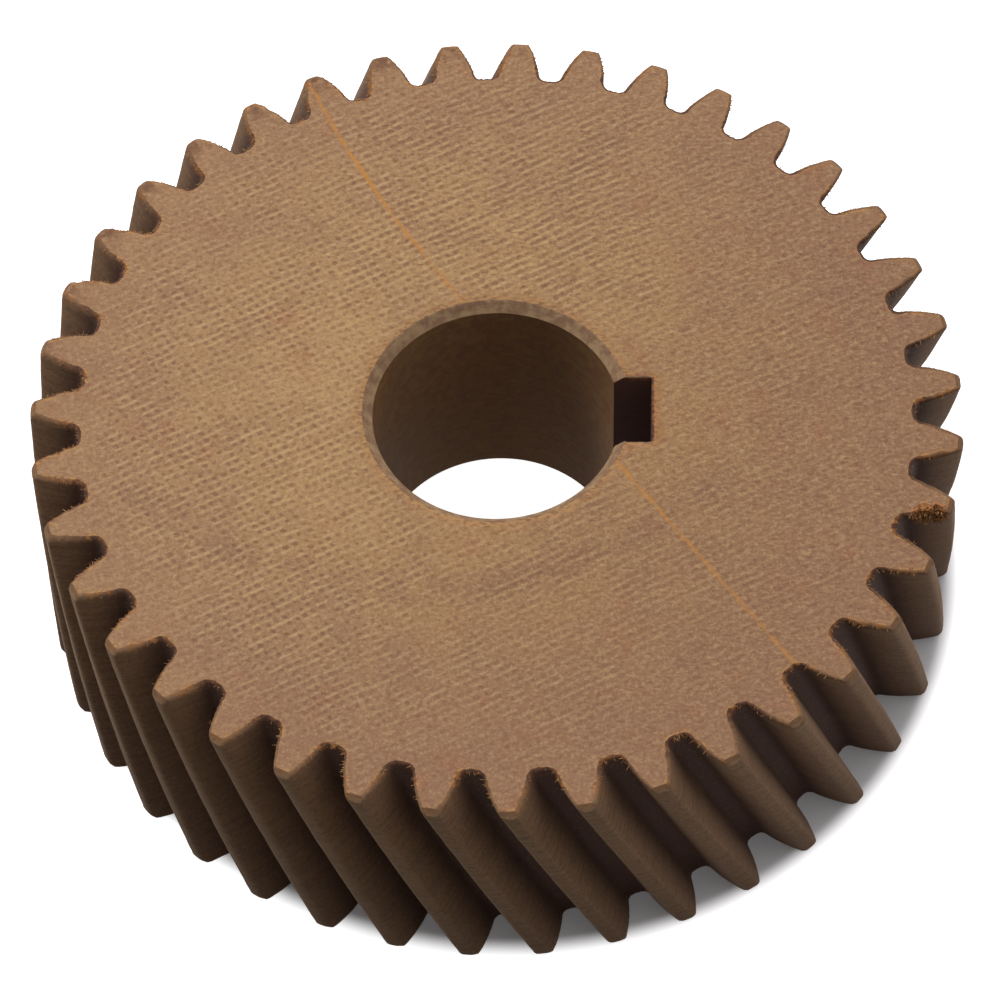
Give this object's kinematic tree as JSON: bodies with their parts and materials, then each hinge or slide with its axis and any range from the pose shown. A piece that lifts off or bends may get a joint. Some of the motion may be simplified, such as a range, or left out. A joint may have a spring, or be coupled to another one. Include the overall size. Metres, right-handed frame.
{
  "type": "single helical gear",
  "caption": "Left-hand helical gear wheel of cloth-based phenolic laminate: plain disc with slanted involute teeth round the rim, a chamfered centre bore and one keyway.",
  "frame": {"origin": "on the bore axis, half way across the face width", "axes": "+Z along the bore axis, out of the face that has the splintered tooth edge; +X from the axis through the middle of the keyway"},
  "size_m": [0.0978, 0.0978, 0.03],
  "materials": {
    "cloth_laminate": "matte, woven cloth showing on the faces, cut edges rough"
  },
  "bodies": {
    "root": {"helical_gear": "cloth_laminate"}
  },
  "joints": []
}
